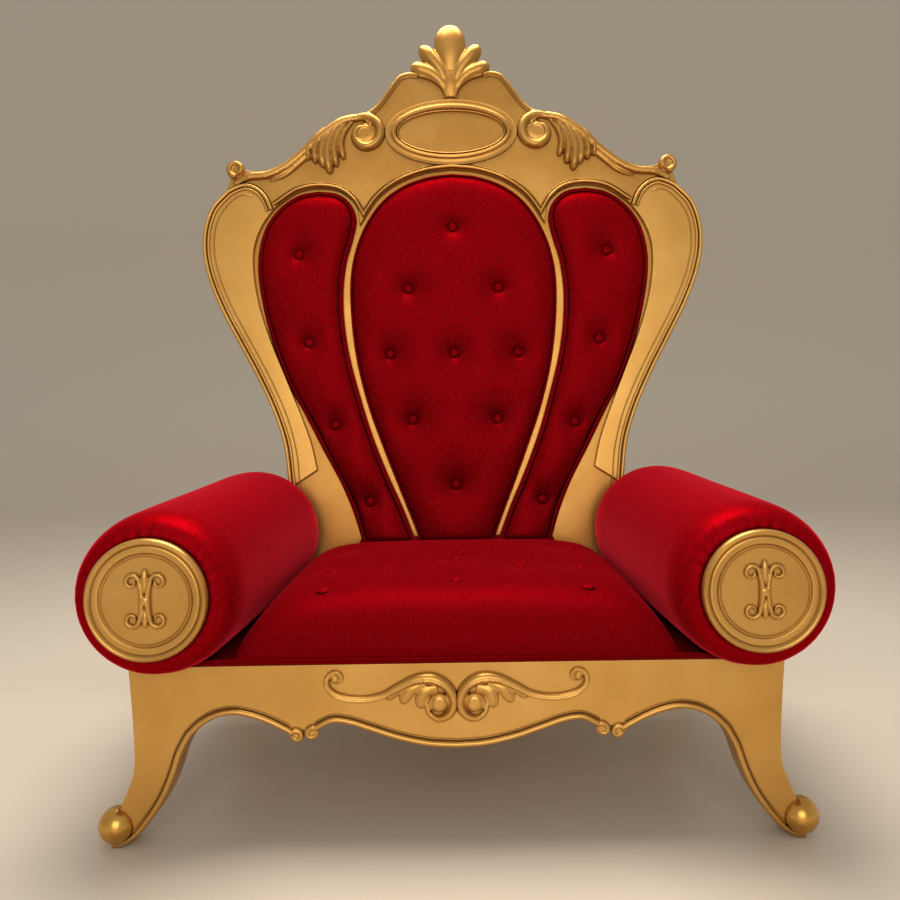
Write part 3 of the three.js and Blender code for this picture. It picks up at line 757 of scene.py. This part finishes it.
def crestCartouche():
    # an oval turned moulding round a flat field
    face = throne["carvedFace"]
    t = np.linspace(0, 2 * math.pi, 120, endpoint=False)

    def ring(inset):
        return np.column_stack([(173 - inset) * np.cos(t), 1077 + (89 - inset) * np.sin(t)])

    profile = [(-15, -5), (-15, 5.2), (-13.5, 5.2), (-9, 4.2), (-1.5, 5.2), (1, 7), (3.5, 10), (8, 10.5),
               (12.5, 7.5), (15, 2), (15, -5)]
    moulding = sweep("cartoucheRim", ring(15), profile, face, closed=True)
    bead = sweep("cartoucheBead", ring(31.5), halfRound(7, 8.5, 5, 10), face, closed=True)
    field = flatShape("cartoucheField", ring(28), face - 6, face + 3.4, 0.5)
    return [moulding, bead, field]


def makeCrest():
    face = throne["carvedFace"]
    board = flatShape("crestBoard", crestOutline(), throne["boardFace"] + 0.3, face, 1.6)
    parts = [board, crestPalmette(), *crestCartouche(),
             sweep("archBead", archLine(-5.2), halfRound(9.5, 7, 5), face),
             sweep("archLine", archLine(-12.6), halfRound(2.6, 2.6, 5, 6), face)]
    volute = crestVolute()
    crest = joinAll("carvedCrest", [*parts, volute, mirrorOf(volute, "voluteLeft")])
    settle(crest, backPlace)
    shadeByAngle(crest)
    finish(crest, shadedGilt, "crest")


makeBackBoard()
makeEar("earLeft", "ear_left", -1)
makeEar("earRight", "ear_right", 1)
makeCrest()
print("carved back ready")

# the upholstery
pads = {
    "centre": [(0, 967), (65, 959), (131, 935), (183, 897), (222, 845), (252, 778), (268, 700),
               (269, 610), (255, 480), (225, 355), (189, 252), (150, 150), (112, 54), (94, 6)],
    "sideInner": [(350, 921), (301, 913), (270, 888), (256, 850), (264, 800), (282, 736), (291, 655),
                  (288, 570), (275, 485), (250, 387), (219, 284), (180, 182), (141, 93), (108, 6)],
    "sideOuter": [(236, 6), (260, 84), (290, 156), (337, 245), (383, 335), (428, 420), (467, 523),
                  (494, 628), (506, 714), (502, 776), (485, 832), (449, 880), (400, 912), (350, 921)],
    "centreButtons": [(0, 822), (-117, 660), (117, 660), (-165, 490), (0, 490), (165, 490),
                      (-109, 319), (109, 319), (0, 151)],
    "sideButtons": [(402, 755), (376, 523), (308, 309), (220, 111)],
    "edge": -11, "inset": 4.8, "shoulder": 10, "crown": 15, "tuft": 19, "tuftWidth": 33, "pit": 4, "welt": 3.3,
    "grain": 7, "pressure": 5, "swell": 7,
    "lining": [(-9, -6), (2.5, -6), (2.5, 0), (0, 2), (-6, 2.2), (-9, 0.5)],
}
# a button's rings, as a share of its radius and a height
button = {
    "radius": 13.6, "sink": 0.6,
    "rings": [(0.82, 0), (0.97, 1), (1, 2.4), (0.95, 4.3), (0.82, 6.2), (0.6, 7.6), (0.32, 8.3), (0.1, 8.5)],
}
# the cover as cloth; the growth is held back to a few millimetres, so it stays over its filling
cover = {"mass": 0.3, "tension": 18, "compression": 12, "bending": 0.6, "quality": 4, "frames": 16}


def vertexArray(obj):
    points = np.empty(len(obj.data.vertices) * 3, np.float32)
    obj.data.vertices.foreach_get("co", points)
    return points.reshape(-1, 3).astype(float) / mm


def setVertices(obj, points):
    obj.data.vertices.foreach_set("co", (points * mm).astype(np.float32).ravel())
    obj.data.update()


def nearest(points, targets):
    # how far each point lies from the closest of the targets, seen flat
    tree = KDTree(len(targets))
    for i, target in enumerate(targets):
        tree.insert((target[0], target[1], 0), i)
    tree.balance()
    return np.array([tree.find((p[0], p[1], 0))[2] for p in points])


def awayFrom(spots, points):
    return np.min([np.hypot(points[:, 0] - x, points[:, 1] - y) for x, y in spots], axis=0)


def stuff(obj, held, pressure, cap):
    # inflates the cover as cloth over its filling; held is 1 where it is stapled or tufted down
    before = vertexArray(obj)
    group = obj.vertex_groups.new(name="held")
    for level in (1.0, 0.6):
        chosen = [int(i) for i in np.nonzero((held > level - 0.2) & (held <= level + 0.2))[0]]
        if chosen:
            group.add(chosen, level, "REPLACE")
    makeActive(obj)
    cloth = obj.modifiers.new("Cloth", "CLOTH")
    cloth.settings.quality = cover["quality"]
    cloth.settings.mass = cover["mass"]
    cloth.settings.tension_stiffness = cover["tension"]
    cloth.settings.compression_stiffness = cover["compression"]
    cloth.settings.bending_stiffness = cover["bending"]
    cloth.settings.use_pressure = True
    cloth.settings.uniform_pressure_force = pressure
    cloth.settings.vertex_group_mass = "held"
    cloth.settings.effector_weights.gravity = 0
    cloth.collision_settings.use_collision = False
    cloth.point_cache.frame_start = 1
    cloth.point_cache.frame_end = cover["frames"]
    for step in range(1, cover["frames"] + 1):
        bpy.context.scene.frame_set(step)
        bpy.context.view_layer.update()
    bpy.ops.object.modifier_apply(modifier=cloth.name)
    bpy.context.scene.frame_set(1)
    moved = vertexArray(obj) - before
    length = np.linalg.norm(moved, axis=1)
    moved *= (cap * np.tanh(length / cap) / np.maximum(length, 1e-6))[:, None]
    setVertices(obj, before + moved)
    print(obj.name, "stuffed, moved up to", round(float(length.max()), 1), "mm")


def makeButton(name, slotNode, place):
    # a covered button: a flat disc drawn up into a low dome with a turned-under rim
    rings = button["rings"]
    bpy.ops.mesh.primitive_circle_add(vertices=28, radius=button["radius"] * rings[0][0] * mm, fill_type="NGON")
    piece = bpy.context.object
    piece.name = name
    startEdit(piece)
    for (before, low), (after, high) in zip(rings, rings[1:]):
        extrude((0, 0, (high - low) * mm))
        bpy.ops.transform.resize(value=(after / before, after / before, 1), center_override=(0, 0, 0))
    endEdit()
    outward(piece)
    shadeSmooth(settle(piece, place))
    finish(piece, velvet, slotNode)


def surfacePlace(pad, x, y, start, sink):
    # where a button sits on the cover, looked for from above and set square to the pull of its thread
    down = Vector((0, 0, -1))
    spot = pad.ray_cast(Vector((x * mm, y * mm, start)), down)[1]
    return Matrix.Translation(spot + down * sink * mm)


def padOutline(which):
    if which == "centre":
        half = smoothLine(pads["centre"], 110)
        return chain(half, mirrored(half))
    return chain(smoothLine(pads["sideInner"], 120), smoothLine(pads["sideOuter"], 120))


def makePad(name, which):
    outline = np.array(padOutline(which))
    buttons = np.array(pads[which + "Buttons"], float)
    area = np.sum(outline[:, 0] * np.roll(outline[:, 1], -1) - outline[:, 1] * np.roll(outline[:, 0], -1))
    inward = 1 if area > 0 else -1
    seam = leftOf(outline, pads["inset"] * inward)
    pad = softened(flatShape(name, seam, throne["boardFace"] + 0.4, pads["edge"] + 8, 3), pads["grain"], 3)
    # the crown, drawn down at each button
    points = vertexArray(pad)
    top = points[:, 2] > pads["edge"] + 1
    depth, away = nearest(points, outline), awayFrom(buttons, points)
    rise = (pads["shoulder"] * (1 - np.exp(-np.maximum(depth - 8, 0) / 9))
            + pads["crown"] * (1 - np.exp(-depth / 60)))
    pull = pads["tuft"] * np.exp(-(away / pads["tuftWidth"]) ** 1.5) + 4 * np.exp(-(away / 75) ** 2)
    points[top, 2] += (rise - pull)[top] - 4
    setVertices(pad, points)
    held = np.where(~top | (depth < 13) | (away < 13), 1.0, 0.0)
    held = np.where((held < 1) & ((depth < 20) | (away < 20)), 0.6, held)
    stuff(pad, held, pads["pressure"], pads["swell"])
    applyModifier(pad, "SMOOTH", factor=0.5, iterations=2)
    applyModifier(pad, "SUBSURF", levels=1, render_levels=1)
    # a small pit round each button
    points = vertexArray(pad)
    pit = pads["pit"] * np.exp(-(awayFrom(buttons, points) / 17) ** 4)
    points[:, 2] -= np.where(points[:, 2] > pads["edge"] - 3, pit, 0)
    setVertices(pad, points)
    # the welt, and the lining that closes the cover against it
    weltLine = leftOf(outline, (pads["welt"] + 0.8) * inward)
    welt = sweep(name + ".welt", weltLine, roundProfile(pads["welt"]), pads["edge"] + 3.5, closed=True)
    strip = pads["lining"] if inward > 0 else [(-x, y) for x, y in pads["lining"]][::-1]
    lining = sweep(name + ".lining", leftOf(outline, 5.5 * inward), strip, pads["edge"] + 1, closed=True)
    return joinAll(name, [pad, welt, lining])


def dressPad(pad, node, part, side, buttons):
    # sets its buttons and stands it against the board
    shadeSmooth(pad)
    for i, (x, up) in enumerate(buttons):
        place = surfacePlace(pad, side * x, up, 0.1, button["sink"])
        makeButton(f"backButton{part.title()}{i + 1}", f"back_button_{part}_{i + 1}", backPlace @ place)
    settle(pad, backPlace)
    finish(pad, velvet, node)


centrePad, sidePad = makePad("centrePad", "centre"), makePad("sidePadRight", "side")
sidePadLeft = mirrorOf(sidePad, "sidePadLeft")
dressPad(centrePad, "back_panel_center", "center", 1, pads["centreButtons"])
dressPad(sidePadLeft, "back_panel_left", "left", -1, pads["sideButtons"])
dressPad(sidePad, "back_panel_right", "right", 1, pads["sideButtons"])
print("back pads ready")

cushion = {
    "halfWidth": 396, "front": -373, "back": 292, "bottom": 322, "crown": 443, "crownRise": 9,
    "side": [(0, 0), (6, 0.16), (20, 0.34), (42, 0.56), (69, 0.76), (104, 0.91), (160, 0.98), (260, 1),
             (800, 1)],
    "nose": [(0, 0), (3, 0.2), (10, 0.4), (24, 0.6), (48, 0.79), (82, 0.93), (130, 0.985), (200, 1),
             (800, 1)],
    "rear": [(0, 0), (10, 0.35), (35, 0.66), (70, 0.86), (120, 0.97), (180, 1), (800, 1)],
    "buttons": [(-245, 82), (245, 82), (0, 118), (-250, 228), (-130, 225), (130, 225), (250, 228),
                (0, 312), (-258, 448), (258, 448)],
    "tuft": 4, "sink": 3.6, "grain": 9.5, "pressure": 5, "swell": 9, "piping": 3.4,
}


def makeSeatCushion():
    look, front = cushion, throne["apronFront"]
    length = look["back"] - look["front"]
    bpy.ops.mesh.primitive_grid_add(x_subdivisions=132, y_subdivisions=112, size=1,
                                    location=(0, (look["front"] + look["back"]) / 2 * mm, look["bottom"] * mm))
    seat = bpy.context.object
    seat.name = "seatCushion"
    seat.scale = (2 * look["halfWidth"] * mm, length * mm, 1)
    startEdit(settle(seat))
    extrude((0, 0, 6 * mm))
    endEdit()
    outward(seat)
    # the crown, which falls to the sides, to a round nose and to the back
    points = vertexArray(seat)
    top = points[:, 2] > look["bottom"] + 3

    def along(table, distance):
        knots = smoothLine([(a, 100 * b) for a, b in table], 400)
        return np.interp(distance, knots[:, 0], knots[:, 1] / 100)

    lift = (along(look["side"], look["halfWidth"] - np.abs(points[:, 0]))
            * along(look["nose"], points[:, 1] - look["front"])
            * along(look["rear"], look["back"] - points[:, 1]))
    spots = [(x, front + behind) for x, behind in look["buttons"]]
    away = awayFrom(spots, points)
    pull = look["tuft"] * np.exp(-(away / 24) ** 1.5) + 3 * np.exp(-(away / 80) ** 2)
    crown = look["crown"] + look["crownRise"] * np.clip((points[:, 1] + 250) / 450, 0, 1)
    points[top, 2] = (look["bottom"] + 4 + (crown - look["bottom"] - 4) * lift - pull * lift)[top]
    setVertices(seat, points)
    softened(seat, look["grain"], 4)
    points = vertexArray(seat)
    away = awayFrom(spots, points)
    low = points[:, 2] < look["bottom"] + 9
    held = np.where(low | (away < 13), 1.0, np.where(away < 20, 0.6, 0.0))
    stuff(seat, held, look["pressure"], look["swell"])
    applyModifier(seat, "SMOOTH", factor=0.5, iterations=2)
    applyModifier(seat, "SUBSURF", levels=1, render_levels=1)
    # the flange under it, with its piping
    half = [(457, front - 2), (453, -300), (420, look["back"])]
    flange = flatShape("flange", half + [(-x, y) for x, y in half[::-1]],
                       throne["apronTop"] + 0.4, throne["apronTop"] + 6.5, 1.2)
    edge = front - 1
    corner = smoothLine([(448, edge), (456, edge + 3), (460, edge + 12)], 10)
    side = chain(corner, [(456, -320)], [(450, -300)])
    piping = sweep("piping", chain(mirrored(side), [(-300, edge), (0, edge), (300, edge)], side),
                   roundProfile(look["piping"]), throne["apronTop"] + 9.2)
    for i, (x, y) in enumerate(spots):
        makeButton(f"seatButton{i + 1}", f"seat_button_{i + 1}", surfacePlace(seat, x, y, 0.6, look["sink"]))
    whole = joinAll("seatCushion", [seat, flange, piping])
    makeActive(whole)
    bpy.ops.object.shade_smooth_by_angle(angle=math.radians(50))
    finish(whole, shadedSeatVelvet, "seat_cushion")


makeSeatCushion()
print("seat ready")

bolster = {
    "x": 514, "toeIn": 20, "rest": 316.6,
    "section": [(0, -431), (60, -432), (100, -433), (115, -430.5), (128, -421), (137, -403), (142, -374),
                (144, -320), (147, -180), (150, -20), (153, 120), (154.5, 210), (152, 256), (143, 284),
                (124, 298), (82, 303), (0, 304)],
    "gathers": 34, "gatherDepth": 2.2, "grain": 9, "pressure": 3, "swell": 5,
}


def makeBolsters():
    look = bolster
    roll = spun("bolsterRight", smoothLine(look["section"], 110), 120, (0, 1, 0), 0.1)
    softened(roll, look["grain"], 3)
    points = vertexArray(roll)
    radius = np.hypot(points[:, 0], points[:, 2])
    held = np.where((points[:, 1] < -380) & (radius < 112), 1.0, np.where(points[:, 1] > 296, 0.6, 0.0))
    stuff(roll, held, look["pressure"], look["swell"])
    applyModifier(roll, "SUBSURF", levels=1, render_levels=1)
    # gathers round the cap, then the roll is toed in, raised and pressed flat where it rests
    points = vertexArray(roll)
    radius, angle = np.hypot(points[:, 0], points[:, 2]), np.arctan2(points[:, 2], points[:, 0])
    rim = np.exp(-np.abs(radius - 108) / 14) * (points[:, 1] < -340)
    waves = np.sin(look["gathers"] * angle + 1.7 * np.sin(3 * angle)) * (0.5 + 0.5 * np.sin(5 * angle + 1))
    points[:, 1] += look["gatherDepth"] * waves * rim
    t = (points[:, 1] + 430) / 734
    centre = look["rest"] + 132.5 + 14 * np.clip(t, 0, 1)
    points[:, 0] += look["x"] - look["toeIn"] * t
    points[:, 2] = np.maximum(points[:, 2] + centre, look["rest"])
    setVertices(roll, points)
    shadeSmooth(roll)
    twin = mirrorOf(roll, "bolsterLeft")
    for piece, node in ((roll, "bolster_right"), (twin, "bolster_left")):
        finish(piece, litBolsterVelvet, node)


makeBolsters()
print("bolsters ready")

# the turned caps of the bolsters, with two mirrored scrolls and a bud
medallion = {
    "x": 514, "up": 449.1, "seat": -434.5, "thick": 16,
    "section": [(0, -16), (99, -16), (102.4, -14), (103, -10), (102.6, -5), (100.5, -1.4), (97.5, 0),
                (94.5, -1.2), (93, -3.6), (91.5, -4.6), (90, -3.4), (88, -2.8), (80, -3.4), (78.6, -4.4),
                (77.4, -2.4), (75.8, -1.2), (74.2, -2.2), (73, -4.8), (70, -5.2), (0, -5.2)],
    "ground": -5,
}


def makeMedallions():
    look = medallion
    ground = look["ground"]
    cap = spun("medallionRight", look["section"], 128, (0, 0, 1), 0.05)
    top = windIn(21, 31, [(-200, 3.5, 0.4), (-90, 7, 0.6), (0, 10, 0.75), (90, 12, 0.85), (180, 12, 0.9)], 50)
    foot = windIn(21, -31, [(180, 12, 0.9), (270, 12, 0.85), (360, 10, 0.75), (450, 7, 0.6), (560, 3.5, 0.4)],
                  50)
    stem = smoothLine([(9, 31, 0.9), (5.5, 16, 1.05), (4.6, 0, 1.15), (5.5, -16, 1.05), (9, -31, 0.9)], 40)
    half = sweep("capScroll", np.vstack([top, stem[1:-1], foot]), halfRound(9, 7, 2, 10), ground)
    upper = lobeLine([(0, 8), (0, 28), (0, 54)], 0.3, 0.62)
    lower = lobeLine([(0, -8), (0, -26), (0, -46)], 0.3, 0.62)
    parts = [half, mirrorOf(half, "capScrollLeft"), sweep("bud", upper, halfRound(13, 7, 2, 12), ground),
             sweep("bud", lower, halfRound(11, 6.5, 2, 12), ground), dome("boss", 0, 0, 9, 9, ground)]
    scroll = carve(joinAll("capRelief", parts), 0.9, 3, ground=-5.4)
    cap = joinAll("medallionRight", [cap, scroll])
    twin = copyOf(cap, "medallionLeft")
    for piece, side, node in ((cap, 1, "medallion_right"), (twin, -1, "medallion_left")):
        centre = Matrix.Translation((side * look["x"] * mm, 0, look["up"] * mm))
        settle(piece, centre @ standPlace(look["seat"] - look["thick"]))
        shadeByAngle(piece, 40)
        finish(piece, gilt, node)


makeMedallions()
print("caps ready")

# floor, light and camera
studio = {"floor": "#CFC6BA", "sky": "#EDE6DA", "skyStrength": 0.6, "sweepRadius": 2.4, "sweepSteps": 16}
bpy.ops.mesh.primitive_plane_add(size=1, location=(0, 0, 0))
floor = bpy.context.object
floor.name = "studioFloor"
floor.scale = (14, 10, 1)
settle(floor)
bpy.ops.object.mode_set(mode="EDIT")
bpy.ops.mesh.select_all(action="DESELECT")
bpy.ops.mesh.select_mode(type="EDGE")
endEdit()
for edge in floor.data.edges:
    edge.select = all(floor.data.vertices[i].co.y > 0 for i in edge.vertices)
bpy.ops.object.mode_set(mode="EDIT")
turn = math.radians(90) / studio["sweepSteps"]
for step in range(studio["sweepSteps"]):  # the paper sweeps up behind in a wide curve
    run, slope = studio["sweepRadius"] * turn, turn * (step + 0.5)
    extrude((0, run * math.cos(slope), run * math.sin(slope)))
extrude((0, 0, 5))
endEdit()
bpy.ops.object.shade_smooth()
floorPaint, _, floorShader = newMaterial("paleFloor")
fill(floorShader, {"Base Color": linear(studio["floor"]), "Roughness": 0.35})
floor.data.materials.append(floorPaint)

world = bpy.data.worlds.new("studioSky")
world.use_nodes = True
fill(world.node_tree.nodes["Background"], {"Color": linear(studio["sky"]), "Strength": studio["skyStrength"]})
bpy.context.scene.world = world


def addLamp(name, place, aim, size, power, colour):
    bpy.ops.object.light_add(type="AREA", location=place)
    lamp = bpy.context.object
    lamp.name = name
    lamp.data.size = size
    lamp.data.energy = power
    lamp.data.color = linear(colour)[:3]
    lamp.rotation_euler = (Vector(aim) - Vector(place)).to_track_quat("-Z", "Y").to_euler()


addLamp("overheadSoftbox", (-0.1, 0.3, 3.3), (0, 0.1, 0.4), 1.8, 112, "#FFF4E6")
addLamp("frontSoftbox", (0, -4.2, 1.7), (0, 0, 0.8), 2.5, 57, "#FFF7EE")

camera = bpy.data.objects.new("frontCamera", bpy.data.cameras.new("frontCamera"))
bpy.context.collection.objects.link(camera)
camera.data.lens = 34
camera.data.sensor_width = 36
camera.data.shift_x = -0.0118
camera.data.shift_y = -0.0411
camera.matrix_world = (Matrix.Translation((0.014, -1.8555, 0.7525)) @ Matrix.Rotation(math.radians(90), 4, "X")
                       @ Matrix.Rotation(math.radians(-0.87), 4, "Z"))
bpy.context.scene.camera = camera
bpy.context.scene.view_settings.view_transform = "Standard"
print("studio ready")
